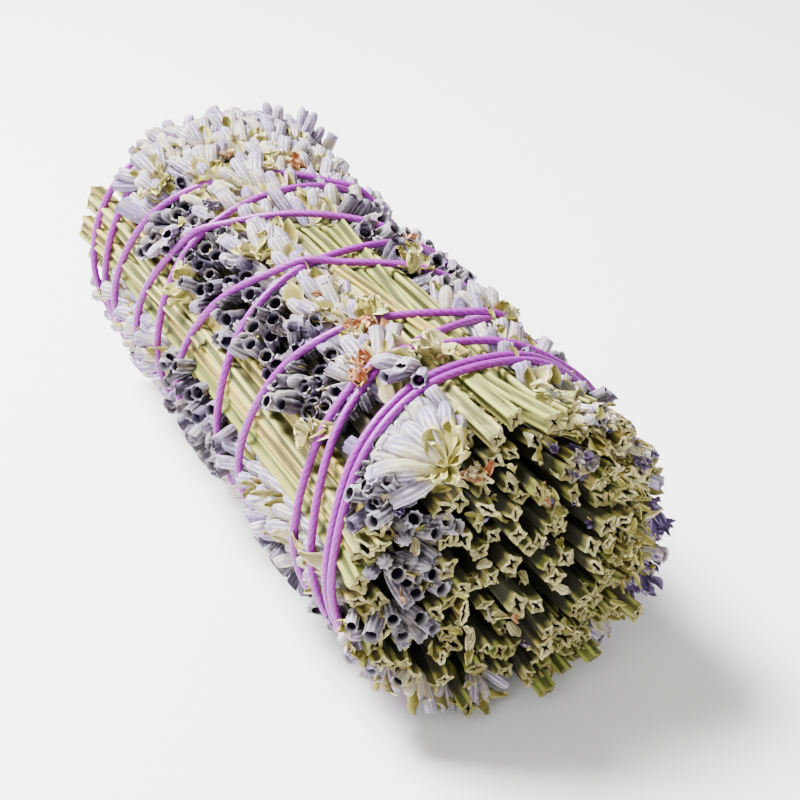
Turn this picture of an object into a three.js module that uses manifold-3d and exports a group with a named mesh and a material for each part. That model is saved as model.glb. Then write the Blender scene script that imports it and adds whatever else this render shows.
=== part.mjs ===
// A bunch of dried lavender, cut short at both ends, wound with coloured string and lying on its side.
// Square hollow stems are packed in the middle and stand apart at the cut ends. Some lie bare on the outside.
// Between those, flattened flower heads cover the bunch, each a pad of stalks with calyces standing out.
// Units are millimetres. X is to the right, Y runs along the bunch from the near cut end, Z is up.
// Angles go round the bunch in degrees: 0 is the right side, 90 the top, 180 the left, 270 the underside.
import * as THREE from "three";
import { mergeVertices } from "three/addons/utils/BufferGeometryUtils.js";
import Module from "manifold-3d";

const wasm = await Module();
wasm.setup();

// Driving sizes
const LENGTH = 102; // from cut end to cut end
const AXIS_Z = 20.3; // height of the bunch's middle line above the surface
const GAP = 0.32; // kept between pieces that lie on each other
const SEED = 7;

// Stems
const CORE = { radius: 15.4, half: 42, sides: 24 }; // the packed middle; further out the stems stand apart
const STEM = { side: 2.0, pitch: 3.05, pit: 1.0 }; // a square stem, their spacing, the hollow in a cut end
const PACKED_R = 13.6; // the middle lines of the packed stems lie inside this
const RING = { radius: 16.05, count: 45, from: 40.6 }; // the outermost stems, which show at the ends
const SPLAY = 0.09; // outward lean of the outermost stem ends
const DOME = 2.6; // the middle stems reach this much further than the outermost
const RAGGED = 3.0; // spread of the cut lengths
const BARE_R = 17.0; // middle line of the stems that lie bare
const BARE_BED = { inner: 15.0, outer: 16.3 }; // the stems packed under them
const BARE_BANDS = [
  { degrees: [152, 160, 168], to: 42 }, // long bare stems down the left side
  { degrees: [80, 88, 96], to: 9 }, // bare stems on top, in the near half
];

// Flower heads
const PAD = { inner: 15.8, outer: 18.05, half: 40.2, ridge: 0.55, ridgeDegrees: 4.2 };
const CALYX = { length: 7.4, radius: 1.45, neck: 0.62, sides: 5 };
const WHORL_PITCH = 6.0; // along the head
const CALYX_SPACING = 3.3; // round the bunch
const OUTER_R = 21.3; // no calyx reaches further from the middle line
const POSTURES = [
  { tries: 10, root: 17.3, tilt: [17, 32], side: 12, size: [0.92, 1.08] }, // standing out of the head
  { tries: 6, root: 17.4, tilt: [3, 14], side: 20, size: [0.7, 0.9] }, // pressed down
  { tries: 10, root: 17.3, tilt: [30, 70], side: 55, size: [0.5, 0.75] }, // pushed upright between strands
];

// String
const STRING = { radius: 0.52, sides: 5, stepsPerTurn: 14, wind: 19.6 }; // wind is how far out it runs
const KNOT = { degrees: 0, y: -34.8, radius: 1.35 };

// Where the string lies at each quarter turn, as y at 180, 90, 0 and 270 degrees, turn after turn.
// It starts at the knot on the right side, winds out to the far end, and comes back across itself.
const WIND_OUT = [
  [-34.8, -39.4],
  [-42.9, -37.0, -35.5, -38.0],
  [-41.6, -35.6, -33.6, -36.0],
  [-38.0, -27.8, -16.5, -12.0],
  [-8.0, -2.5, 6.0, 11.0],
  [15.5, 18.5, 26.0, 32.0],
  [45.8, 44.6, 42.0, 43.0],
];
const WIND_BACK = [
  [43.0],
  [40.8, 42.4, 40.0, 39.0],
  [35.5, 25.0, 17.0, 20.0],
  [25.0, 9.5, 0.0, 2.0],
  [7.5, -6.5, -14.5, -16.0],
  [-15.5, -22.3, -26.5, -30.0],
  [-33.0, -30.6, -34.8],
];

// The columns of flower heads, between two angles. Each head is [from y, to y, way its tips point, colour].
const NEAR = -PAD.half;
const FAR = PAD.half;
const COLUMNS = [
  {
    name: "near_rim_left", from: 134, to: 147,
    heads: [[-48.5, -35, -1, "dark"]],
  },
  {
    name: "near_rim_top", from: 103, to: 133,
    heads: [[-48.5, -35, 1, "pale"]],
  },
  {
    name: "upper_left", from: 123, to: 147,
    heads: [[-34, -1, -1, "dark"], [0, 33, -1, "dark"], [34, FAR, 1, "pale"]],
  },
  {
    name: "top_left", from: 102, to: 122,
    heads: [[-34, -9, 1, "pale"], [-8, 16, 1, "pale"], [17, FAR, 1, "pale"]],
  },
  {
    name: "top", from: 75, to: 101,
    heads: [[11, FAR, 1, "pale"]],
  },
  {
    name: "upper_right", from: 41, to: 74,
    heads: [[NEAR, -14, 1, "pale"], [-13, 13, -1, "dark"], [14, FAR, 1, "pale"]],
  },
  {
    name: "right", from: 7, to: 40,
    heads: [[NEAR, -12, -1, "dark"], [-11, 15, 1, "pale"], [16, FAR, 1, "pale"]],
  },
  {
    name: "lower_right", from: -27, to: 6,
    heads: [[NEAR, -15, 1, "pale"], [-14, 12, 1, "pale"], [13, FAR, -1, "dark"]],
  },
  {
    name: "under_right", from: -61, to: -28,
    heads: [[NEAR, -13, 1, "pale"], [-12, 14, -1, "dark"], [15, FAR, 1, "pale"]],
  },
  {
    name: "under", from: -95, to: -62,
    heads: [[NEAR, -14, -1, "dark"], [-13, 13, 1, "dark"], [14, FAR, 1, "dark"]],
  },
  {
    name: "under_left", from: -129, to: -96,
    heads: [[NEAR, -12, 1, "pale"], [-11, 15, 1, "dark"], [16, FAR, -1, "pale"]],
  },
  {
    name: "lower_left", from: -159, to: -130,
    heads: [[NEAR, -15, -1, "dark"], [-14, 12, 1, "pale"], [13, FAR, 1, "pale"]],
  },
  {
    name: "left", from: -187, to: -160,
    heads: [[NEAR, -13, 1, "pale"], [-12, 14, -1, "dark"], [15, FAR, 1, "pale"]],
  },
];

const MATERIALS = {
  stems: new THREE.MeshStandardMaterial({ color: 0xb4b184, roughness: 0.8, flatShading: true }),
  pale: new THREE.MeshStandardMaterial({ color: 0xb9b2c4, roughness: 0.9, flatShading: true }),
  dark: new THREE.MeshStandardMaterial({ color: 0x6d6884, roughness: 0.9, flatShading: true }),
  string: new THREE.MeshStandardMaterial({ color: 0x9a30ae, roughness: 0.6, flatShading: true }),
};

// ---- helpers

// Repeatable random numbers from 0 to 1.
function randomFrom(seed) {
  let state = seed;
  return () => {
    state = (state + 0x6d2b79f5) | 0;
    let mixed = Math.imul(state ^ (state >>> 15), 1 | state);
    mixed = (mixed + Math.imul(mixed ^ (mixed >>> 7), 61 | mixed)) ^ mixed;
    return ((mixed ^ (mixed >>> 14)) >>> 0) / 4294967296;
  };
}
const random = randomFrom(SEED);
const between = (low, high) => low + (high - low) * random();

const { degToRad, radToDeg, clamp, euclideanModulo } = THREE.MathUtils;
const ALONG = new THREE.Vector3(0, 1, 0);
const radial = (degrees) => new THREE.Vector3(Math.cos(degToRad(degrees)), 0, Math.sin(degToRad(degrees)));
const around = (degrees) => radial(degrees + 90);
const onBunch = (r, degrees, y) => radial(degrees).multiplyScalar(r).add(new THREE.Vector3(0, y, AXIS_Z));
const reach = (point) => Math.hypot(point.x, point.z - AXIS_Z);
const bearing = (point) => radToDeg(Math.atan2(point.z - AXIS_Z, point.x));
const turnFrom = (degrees, centre) => euclideanModulo(degrees - centre + 180, 360) - 180;

// A closed geometry as a solid that can be joined and cut.
function solid(geometry) {
  const bare = new THREE.BufferGeometry().setAttribute("position", geometry.getAttribute("position"));
  const merged = mergeVertices(bare.setIndex(geometry.index), 1e-4);
  const triangles = [];
  for (let i = 0; i < merged.index.count; i += 3) {
    const corners = [0, 1, 2].map((k) => merged.index.getX(i + k));
    if (new Set(corners).size === 3) triangles.push(...corners);
  }
  const vertProperties = new Float32Array(merged.attributes.position.array);
  const triVerts = new Uint32Array(triangles);
  return new wasm.Manifold(new wasm.Mesh({ numProp: 3, vertProperties, triVerts }));
}

const fuse = (solids) => solids.reduce((all, one) => all.add(one));

function meshOf(made, name, material) {
  const { vertProperties, triVerts } = made.simplify(0.02).getMesh();
  const geometry = new THREE.BufferGeometry()
    .setAttribute("position", new THREE.BufferAttribute(vertProperties, 3))
    .setIndex(new THREE.BufferAttribute(triVerts, 1));
  const mesh = new THREE.Mesh(geometry, material);
  mesh.name = name;
  return mesh;
}

// A turned shape with few sides that stands on base and points along direction.
function turned(profile, sides, base, direction, roll) {
  const points = profile.map(([r, along]) => new THREE.Vector2(r, along));
  const aim = new THREE.Quaternion().setFromUnitVectors(ALONG, direction.clone().normalize());
  const shape = new THREE.LatheGeometry(points, sides).rotateY(roll).applyQuaternion(aim);
  return solid(shape.translate(base.x, base.y, base.z));
}

// ---- string

// A winding whose y is given at each quarter turn. It runs clockwise as seen from the near end.
class Winding extends THREE.Curve {
  constructor(quarters, startDegrees) {
    super();
    this.quarters = quarters;
    this.startDegrees = startDegrees;
    this.steps = Math.round(((quarters.length - 1) / 4) * STRING.stepsPerTurn);
    this.arcLengthDivisions = this.steps * 6;
  }
  getPoint(t, target = new THREE.Vector3()) {
    const last = this.quarters.length - 1;
    const i = Math.min(Math.floor(t * last), last - 1);
    const f = t * last - i;
    const q = (k) => this.quarters[clamp(i + k, 0, last)];
    const rise = q(1) - q(0);
    const slopeIn = (q(1) - q(-1)) / 2;
    const slopeOut = (q(2) - q(0)) / 2;
    const bend = 3 * rise - 2 * slopeIn - slopeOut + f * (slopeIn + slopeOut - 2 * rise);
    const y = q(0) + f * (slopeIn + f * bend);
    return target.copy(onBunch(STRING.wind, this.startDegrees - 90 * (i + f), y));
  }
}

const windings = [new Winding(WIND_OUT.flat(), 0), new Winding(WIND_BACK.flat(), 270)];

function stringTube(winding) {
  const corners = Array.from({ length: STRING.sides }, (_, i) => {
    const a = (2 * Math.PI * i) / STRING.sides;
    return new THREE.Vector2(STRING.radius * Math.cos(a), STRING.radius * Math.sin(a));
  });
  const section = new THREE.Shape(corners);
  return solid(new THREE.ExtrudeGeometry(section, { extrudePath: winding, steps: winding.steps }));
}

function string() {
  const at = onBunch(STRING.wind + 0.3, KNOT.degrees, KNOT.y);
  const knot = new THREE.IcosahedronGeometry(KNOT.radius, 1).scale(0.8, 1.3, 1);
  return fuse([...windings.map(stringTube), solid(knot.translate(at.x, at.y, at.z))]);
}

// A curved bed of pressed stalks between two angles and two places along the bunch, ridged on the outside.
function bed({ degreesFrom, degreesTo, from, to }, { inner, outer }) {
  const steps = 2 * Math.ceil((degreesTo - degreesFrom) / PAD.ridgeDegrees / 2);
  const corner = (i, r) => {
    const at = radial(degreesFrom + (i / steps) * (degreesTo - degreesFrom)).multiplyScalar(r);
    return new THREE.Vector2(at.x, at.z);
  };
  const ridges = Array.from({ length: steps + 1 }, (_, i) => corner(i, outer - (i % 2 ? 0 : PAD.ridge)));
  const back = Array.from({ length: steps / 2 + 1 }, (_, i) => corner(steps - 2 * i, inner));
  const outline = new THREE.Shape([...ridges, ...back]);
  const shape = new THREE.ExtrudeGeometry(outline, { depth: to - from, bevelEnabled: false });
  return solid(shape.rotateX(Math.PI / 2).translate(0, to, AXIS_Z));
}

// ---- stems

const headCovers = (degrees, y) =>
  COLUMNS.some((column) => {
    const half = (column.to - column.from) / 2;
    return (
      Math.abs(turnFrom(degrees, column.from + half)) < half + 4 &&
      column.heads.some(([from, to]) => y > from - 1 && y < to + 1)
    );
  });

// One square stem, with a hollow in the end that it runs to.
function stem(base, direction, length, roll) {
  const corner = STEM.side / Math.SQRT2;
  const profile = [[0, 0], [corner, 0], [corner, length], [0, length - STEM.pit]];
  return turned(profile, 4, base, direction, roll);
}

function cutEnd(x, z, end, from, roll) {
  const r = Math.hypot(x, z);
  const lean = (SPLAY * (r / RING.radius) ** 2) / Math.max(r, 1);
  const direction = new THREE.Vector3(x * lean, end, z * lean);
  const tip = LENGTH / 2 - DOME * (r / RING.radius) ** 2 - between(0, RAGGED);
  return stem(new THREE.Vector3(x, end * from, AXIS_Z + z), direction, tip - from, roll);
}

function packedStems() {
  const made = [];
  const rowHeight = (STEM.pitch * Math.sqrt(3)) / 2;
  const rows = Math.ceil(PACKED_R / rowHeight);
  for (const end of [-1, 1])
    for (let row = -rows; row <= rows; row++)
      for (let place = -rows; place <= rows; place++) {
        const x = (place + (row % 2 ? 0.5 : 0)) * STEM.pitch + between(-0.25, 0.25);
        const z = row * rowHeight + between(-0.25, 0.25);
        if (Math.hypot(x, z) < PACKED_R) made.push(cutEnd(x, z, end, CORE.half - 1, between(0, Math.PI)));
      }
  return made;
}

// Whether a stem at this place lies bare where it comes to the near (-1) or far (1) end.
const isBare = (degrees, end) =>
  BARE_BANDS.some((band) => band.degrees.includes(degrees) && end * CORE.half <= band.to);

function ringStems() {
  const made = [];
  for (const end of [-1, 1])
    for (let i = 0; i < RING.count; i++) {
      const place = (360 / RING.count) * i;
      const bare = isBare(place, end);
      const degrees = place + (bare ? 0 : between(-0.6, 0.6));
      if (headCovers(degrees, end * (PAD.half + 3))) continue;
      const at = radial(degrees).multiplyScalar(bare ? BARE_R : RING.radius);
      made.push(cutEnd(at.x, at.z, end, RING.from, Math.PI / 4 - degToRad(degrees)));
    }
  return made;
}

function bareStems() {
  return BARE_BANDS.flatMap(({ degrees, to }) => {
    const span = { degreesFrom: degrees[0] - 3, degreesTo: degrees.at(-1) + 3, from: -CORE.half, to: to - 2 };
    const roll = (a) => Math.PI / 4 - degToRad(a);
    const lying = degrees.map((a) => stem(onBunch(BARE_R, a, -CORE.half), ALONG, to + CORE.half, roll(a)));
    return [bed(span, BARE_BED), ...lying];
  });
}

function stems() {
  const { radius, half, sides } = CORE;
  const core = solid(new THREE.CylinderGeometry(radius, radius, 2 * half, sides).translate(0, 0, AXIS_Z));
  return fuse([core, ...packedStems(), ...ringStems(), ...bareStems()]);
}

// ---- flower heads

const PROFILES = {
  pale: [[0, 0], [CALYX.neck, 0], [CALYX.radius, 0.72 * CALYX.length], [0, CALYX.length]],
  dark: [[0, 0], [CALYX.neck, 0], [CALYX.radius, CALYX.length], [0, 0.72 * CALYX.length]],
};
const widthAt = (f) => CALYX.neck + (CALYX.radius - CALYX.neck) * Math.min(1, f / 0.72);

// The nearest places of two straight pieces, each as a fraction of its length, and how far apart they are.
function nearest(a, b) {
  const u = a.tip.clone().sub(a.base);
  const v = b.tip.clone().sub(b.base);
  const w = a.base.clone().sub(b.base);
  const [uu, uv, vv, uw, vw] = [u.dot(u), u.dot(v), v.dot(v), u.dot(w), v.dot(w)];
  const cross = uu * vv - uv * uv;
  const s = cross < 1e-9 ? 0 : clamp((uv * vw - vv * uw) / cross, 0, 1);
  const t = clamp((uv * s + vw) / vv, 0, 1);
  const f = clamp((uv * t - uw) / uu, 0, 1);
  const distance = w.addScaledVector(u, f).addScaledVector(v, -t).length();
  return { f, t, distance };
}

const stringPieces = windings.flatMap((winding) => {
  const points = Array.from({ length: winding.steps + 1 }, (_, i) => winding.getPointAt(i / winding.steps));
  return points.slice(1).map((tip, i) => ({ base: points[i], tip }));
});

const clearOfString = (calyx) =>
  stringPieces.every((piece) => {
    if (Math.abs(piece.base.y - calyx.base.y) > 14) return true;
    const { f, distance } = nearest(calyx, piece);
    return distance > widthAt(f) + STRING.radius + GAP;
  });

const clearOfOthers = (calyx, others) =>
  others.every((other) => {
    if (other.base.distanceTo(calyx.base) > 20) return true;
    const { f, t, distance } = nearest(calyx, other);
    const between = other.head === calyx.head ? -1.1 : GAP;
    return distance > widthAt(f) + widthAt(t) + between;
  });

// Away from its own pad a calyx has to stay above the pads and stems beside it.
function clearOfPads(calyx) {
  const { degreesFrom, degreesTo, from, to } = calyx.head;
  const half = (degreesTo - degreesFrom) / 2;
  return [0.2, 0.4, 0.6, 0.8, 1].every((f) => {
    const at = calyx.base.clone().lerp(calyx.tip, f);
    const width = widthAt(f);
    const room = half - radToDeg(width / reach(at));
    const insideArc = Math.abs(turnFrom(bearing(at), degreesFrom + half)) < room;
    const inside = insideArc && at.y - width > from && at.y + width < to;
    const flare = Math.max(0, Math.abs(at.y) + width - RING.from) * SPLAY * 1.3;
    return inside || reach(at) - width > PAD.outer + GAP + flare;
  });
}

function aimed(head, degrees, y, { root, tilt, side, size }) {
  const lift = degToRad(between(...tilt));
  const swing = degToRad(between(-side, side));
  const scale = between(...size);
  const direction = ALONG.clone().multiplyScalar(head.way * Math.cos(lift) * Math.cos(swing));
  direction.addScaledVector(around(degrees), Math.cos(lift) * Math.sin(swing));
  direction.addScaledVector(radial(degrees), Math.sin(lift));
  const base = onBunch(root, degrees, y);
  const tip = base.clone().addScaledVector(direction, CALYX.length * scale);
  return { head, direction, base, tip, scale };
}

function placeCalyx(head, degrees, y, others) {
  for (const posture of POSTURES)
    for (let attempt = 0; attempt < posture.tries; attempt++) {
      const calyx = aimed(head, degrees, y, posture);
      const low = reach(calyx.tip) + 0.5 * CALYX.radius < OUTER_R;
      if (low && clearOfPads(calyx) && clearOfString(calyx) && clearOfOthers(calyx, others)) return [calyx];
    }
  return [];
}

function placeCalyces(head, placed) {
  const width = degToRad(head.degreesTo - head.degreesFrom) * PAD.outer;
  const across = Math.max(1, Math.floor(width / CALYX_SPACING));
  const whorls = Math.max(1, Math.round((head.to - head.from - 1) / WHORL_PITCH));
  const made = [];
  for (let whorl = 0; whorl < whorls; whorl++)
    for (let i = 0; i < across; i++) {
      const step = (head.degreesTo - head.degreesFrom) / across;
      const degrees = head.degreesFrom + step * (i + 0.5) + between(-1, 1);
      const along = (whorl + 0.25 + (i % 2) * 0.5) / whorls;
      const y = head.from + 0.8 + (head.to - head.from - 1.6) * along + between(-0.4, 0.4);
      made.push(...placeCalyx(head, degrees, y, [...placed, ...made]));
    }
  return made;
}

// Calyces are flat where they press on the surface the bunch lies on.
const surface = solid(new THREE.BoxGeometry(120, 160, 20).translate(0, 0, -10));

function headSolid(head, calyces) {
  const profile = PROFILES[head.colour];
  const stand = ({ base, direction, scale }) => {
    const sized = profile.map(([r, along]) => [r * Math.sqrt(scale), along * scale]);
    return turned(sized, CALYX.sides, base, direction, between(0, Math.PI));
  };
  return fuse([bed(head, PAD), ...calyces.map(stand)]).subtract(surface);
}

function headMeshes() {
  const placed = [];
  return COLUMNS.flatMap((column) =>
    column.heads.map(([from, to, way, colour], i) => {
      const head = { degreesFrom: column.from, degreesTo: column.to, from, to, way, colour };
      const calyces = placeCalyces(head, placed);
      placed.push(...calyces);
      return meshOf(headSolid(head, calyces), `head_${column.name}_${i + 1}`, MATERIALS[colour]);
    }),
  );
}

const bunch = new THREE.Group();
bunch.name = "lavender_bunch";
bunch.add(meshOf(stems(), "stems", MATERIALS.stems));
bunch.add(...headMeshes());
bunch.add(meshOf(string(), "string", MATERIALS.string));

export default bunch;
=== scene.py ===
from math import copysign, cos, hypot, pi, radians, sin, sqrt

import bpy
import numpy as np
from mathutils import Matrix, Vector


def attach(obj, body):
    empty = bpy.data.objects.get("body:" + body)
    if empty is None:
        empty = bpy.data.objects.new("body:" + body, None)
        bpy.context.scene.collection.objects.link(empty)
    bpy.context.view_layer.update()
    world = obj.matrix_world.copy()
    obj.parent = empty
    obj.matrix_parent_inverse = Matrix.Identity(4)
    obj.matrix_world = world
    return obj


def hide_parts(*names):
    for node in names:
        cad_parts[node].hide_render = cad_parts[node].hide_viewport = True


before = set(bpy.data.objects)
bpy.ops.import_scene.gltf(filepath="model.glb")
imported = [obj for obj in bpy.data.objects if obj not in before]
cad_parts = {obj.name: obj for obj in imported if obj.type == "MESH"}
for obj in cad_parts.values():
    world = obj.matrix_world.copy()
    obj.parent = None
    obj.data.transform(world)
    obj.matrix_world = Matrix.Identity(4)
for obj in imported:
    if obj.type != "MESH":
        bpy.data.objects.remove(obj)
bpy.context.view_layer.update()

# Millimetres. Y runs along the bunch from the near cut end to the far one, and Z is up. Angles are degrees
# round the bunch: 0 is its right side, 90 its top and 180 its left side.
MM = 0.001
AXIS_Z = 20.3  # height of its middle line
HALF = 51  # half its length
RING_R = 16.05  # how far out the last ring of packed stems is
OUTER_R, PRESSED_R = 21.6, 21  # how far out flowers reach: those that stand loose, and the others
LEFT_BAND, TOP_BAND = 160, 88  # the middles of the two bands of bare stems
SURFACE = 0.03  # just over the surface that the bunch lies on
rng = np.random.default_rng(11)
draw = rng.uniform


# ---- frame of the bunch


def radial(deg):
    a = np.radians(deg)
    return np.stack([np.cos(a), np.zeros_like(a), np.sin(a)], -1)


def around(deg):
    return radial(deg + 90)


def on_bunch(r, deg, y):
    r, deg, y = np.broadcast_arrays(r, deg, y)
    a = np.radians(deg)
    return np.stack([r * np.cos(a), y, AXIS_Z + r * np.sin(a)], -1)


def polar(P):
    x, z = P[..., 0], P[..., 2] - AXIS_Z
    return np.hypot(x, z), np.degrees(np.arctan2(z, x)) % 360


def smooth(x, low, high):
    t = np.clip((x - low) / (high - low), 0, 1)
    return t * t * (3 - 2 * t)


def turn(deg, centre):
    return (deg - centre + 180) % 360 - 180


def vec(*v):
    return np.array(v, float)


def unit(v):
    v = np.asarray(v, float)
    return v / np.maximum(np.linalg.norm(v, axis=-1, keepdims=True), 1e-12)


def opened(P):
    """The bunch widens on its left towards the far end, and a little on its right towards the near end."""
    deg = polar(P)[1]
    left, right = (0.5 + 0.5 * np.cos(np.pi * np.clip(turn(deg, at) / 85, -1, 1)) for at in (162, 5))
    along = (P[:, 1] + HALF) / (2 * HALF)
    grow = 1 + 0.11 * left * along + 0.032 * right * (1 - along)
    return np.stack([P[:, 0] * grow, P[:, 1], AXIS_Z + (P[:, 2] - AXIS_Z) * grow], -1)


# ---- meshes


class Piece:
    """Gathers grids of points, with four numbers a point for the materials, into one mesh."""

    def __init__(self):
        self.points, self.data, self.quads, self.tris, self.count = [], [], [], [], 0

    def grid(self, P, values=(), closed=True, tips=()):
        """Adds rows of points, with up to four values. Each row in tips, 0 or -1, becomes a single point."""
        rows, cols = P.shape[:2]
        data = np.stack([np.broadcast_to(v, (rows, cols)) for v in (*values, 0, 0, 0, 0)[:4]], -1)
        first, last = int(0 in tips), rows - int(-1 in tips)
        ids = self.count + np.arange((last - first) * cols).reshape(-1, cols)
        if closed:
            beside = np.roll(ids, -1, axis=1)
            quads = np.stack([ids[:-1], ids[1:], beside[1:], beside[:-1]], -1)
        else:
            quads = np.stack([ids[:-1, :-1], ids[1:, :-1], ids[1:, 1:], ids[:-1, 1:]], -1)
        self.quads.append(quads.reshape(-1, 4))
        self.points.append(P[first:last].reshape(-1, 3))
        self.data.append(data[first:last].reshape(-1, 4))
        self.count += ids.size
        for row in tips:
            self.points.append(P[row].mean(0)[None])
            self.data.append(data[row].mean(0)[None])
            apex = np.full(cols, self.count)
            self.count += 1
            a, b = ids[row], np.roll(ids[row], -1)
            self.tris.append(np.stack([apex, a, b] if row == 0 else [a, apex, b], -1))

    def shape(self, change):
        """Moves every point gathered so far."""
        self.points = [change(np.concatenate(self.points))]

    def make(self, name, look, slot, cad=()):
        """Makes the object, opened out, in place of the CAD nodes named in cad."""
        mesh = bpy.data.meshes.new(name)
        faces = [face for grid in self.quads + self.tris for face in grid.tolist()]
        mesh.from_pydata(opened(np.concatenate(self.points)) * MM, [], faces, shade_flat=False)
        attribute = mesh.attributes.new("part", "FLOAT_COLOR", "POINT")
        attribute.data.foreach_set("color", np.concatenate(self.data).astype(np.float32).ravel())
        mesh.validate()
        mesh.materials.append(MAT[look])
        obj = bpy.data.objects.new(name, mesh)
        bpy.context.collection.objects.link(obj)
        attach(obj, "root")
        if cad:
            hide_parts(*cad)


def ring(cols):
    return 2 * np.pi * np.arange(cols) / cols


def sweep(path, ref, radii, angles):
    """Points of a section carried along a path. radii is (rows, cols), ref a direction kept as angle 0."""
    t = unit(np.gradient(path, axis=0))
    ref = np.broadcast_to(ref, path.shape)
    n = unit(ref - (ref * t).sum(-1, keepdims=True) * t)
    b = np.cross(t, n)
    angles = np.broadcast_to(angles, radii.shape)
    off = np.cos(angles)[..., None] * n[:, None] + np.sin(angles)[..., None] * b[:, None]
    return path[:, None] + radii[..., None] * off


# ---- the string's route

# y at each quarter turn: out to the far end from 0 degrees (then 270, 180, 90 and so on), back from 270.
WIND_OUT = [-34.8, -39.4, -42.9, -37, -35.5, -38, -41.6, -35.6, -33.6, -36, -38, -27.8, -16.5, -12]
WIND_OUT += [-8, -2.5, 6, 11, 15.5, 18.5, 26, 32, 45.8, 44.6, 42, 43]
WIND_BACK = [43, 40.8, 42.4, 40, 39, 35.5, 25, 17, 20, 25, 9.5, 0, 2]
WIND_BACK += [7.5, -6.5, -14.5, -16, -15.5, -22.3, -26.5, -30, -33, -30.6, -34.8]
STRING_R = 0.47
STRING_OUT = 19.3  # how far out its middle line runs over flowers


def winding(quarters, start):
    """The angle and y of the string at every degree of its way: a smooth line through the quarter turns."""
    q = np.array(quarters, float)
    last = len(q) - 1
    at = np.linspace(0, last, last * 90 + 1)
    i = np.minimum(at.astype(int), last - 1)
    f = at - i
    before, here, ahead, beyond = (q[np.clip(i + k, 0, last)] for k in (-1, 0, 1, 2))
    rise, slope_in, slope_out = ahead - here, (ahead - before) / 2, (beyond - here) / 2
    bend = 3 * rise - 2 * slope_in - slope_out + f * (slope_in + slope_out - 2 * rise)
    return start - 90 * at, here + f * (slope_in + f * bend)


OUT = winding(WIND_OUT, 0)
BACK = winding(WIND_BACK, 270)


def strand_table(windings):
    """For each degree round the bunch, the y of every strand that passes there."""
    rows = [[] for _ in range(360)]
    for deg, y in windings:
        unrolled = -deg
        whole = np.arange(np.ceil(unrolled[0]), np.floor(unrolled[-1]) + 1)
        for w, yy in zip(whole, np.interp(whole, unrolled, y)):
            rows[int(-w) % 360].append(yy)
    table = np.full((360, max(map(len, rows))), 1e3)
    for i, r in enumerate(rows):
        table[i, : len(r)] = r
    return table


STRANDS = strand_table([OUT, BACK])


def strand_distance(deg, y):
    """How far a place is from the nearest strand, which runs a little slanted."""
    return np.abs(STRANDS[deg.astype(int) % 360] - y[..., None]).min(-1) * 0.96


def band(deg, middle, outer, inner):
    """1 within inner degrees of the middle, and 0 from outer degrees on."""
    return smooth(-np.abs(turn(deg, middle)), -outer, -inner)


def bare(deg, y):
    """1 where the stems lie bare on the outside, 0 where flower heads cover them."""
    top = band(deg, TOP_BAND, 16, 9) * smooth(-y, -12, -4)
    return np.maximum(band(deg, LEFT_BAND, 15, 9), top)


def flare(y):
    """The far end of the bunch opens out a little."""
    return 0.13 * np.maximum(0, y - 40)


def string_level(deg, y):
    """How far out the string's middle runs: lower over bare stems, at the near end and at the far left."""
    top = band(deg, TOP_BAND, 27, 3) * smooth(-y, -14, -2)
    far_left = band(deg, LEFT_BAND, 62, 26) * smooth(y, 37, 45)
    low = 0.5 * np.maximum(band(deg, LEFT_BAND, 27, 3), top) + 0.35 * smooth(-y, 38, 44) + 0.7 * far_left
    return STRING_OUT - low + 0.8 * flare(y)


def drawn_in(P, scale, deepest):
    """P moved towards the middle line by scale, and up from below the surface that the bunch lies on."""
    Q = P.copy()
    Q[..., 0] *= scale
    low = AXIS_Z + (P[..., 2] - AXIS_Z) * scale
    Q[..., 2] = np.where(low < SURFACE, SURFACE + 0.01 * np.clip(low, deepest, 0), low)
    return Q


def keep_in(P):
    """Nothing stands further out than the flowers do."""
    r = polar(P)[0]
    kept = OUTER_R + 0.1 * (r - OUTER_R)
    return drawn_in(P, np.where(r > OUTER_R, kept / np.maximum(r, 1e-9), 1), -2)


def press(P):
    """Flower parts give way under the string."""
    r, deg = polar(P)
    distance = strand_distance(deg, P[..., 1])
    under = string_level(deg, P[..., 1]) - STRING_R - 0.06
    limit = np.minimum(under + np.maximum(0, distance - 0.65) * 1.35, PRESSED_R)
    limit = np.where(distance > 2.6, PRESSED_R, limit)
    kept = np.where(r > limit, limit + 0.06 * (r - limit), r)
    return drawn_in(P, kept / np.maximum(r, 1e-9), -3)


# ---- materials


def material(name):
    m = bpy.data.materials.new(name)
    m.use_nodes = True
    m.node_tree.nodes.clear()
    return m, m.node_tree


def node(t, kind, inputs, **settings):
    """Adds a node. Its inputs are given as numbers, colours or what other nodes put out."""
    n = t.nodes.new(kind)
    for name, value in settings.items():
        setattr(n, name, value)
    for key, value in inputs.items():
        socket = n.inputs[key]
        if isinstance(value, bpy.types.NodeSocket):
            t.links.new(value, socket)
        else:
            socket.default_value = (*value, 1) if socket.type == "RGBA" else value
    return n


def part_data(t):
    a = node(t, "ShaderNodeAttribute", {}, attribute_name="part")
    return *node(t, "ShaderNodeSeparateColor", {0: a.outputs["Color"]}).outputs, a.outputs["Alpha"]


def calculated(t, operation, a, b):
    return node(t, "ShaderNodeMath", {0: a, 1: b}, operation=operation).outputs[0]


def mix(t, factor, a, b, blend="MIX"):
    n = node(t, "ShaderNodeMix", {0: factor, 6: a, 7: b}, data_type="RGBA", blend_type=blend)
    return n.outputs[2]


def over(t, colour, other, x, low, high, amount=1, blend="MIX"):
    """Lays the other colour over the first, from none of it where x is low to the amount where x is high."""
    inputs = dict(enumerate((x, low, high, 0, amount)))
    share = node(t, "ShaderNodeMapRange", inputs, interpolation_type="SMOOTHSTEP").outputs[0]
    return mix(t, share, colour, other, blend)


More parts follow.
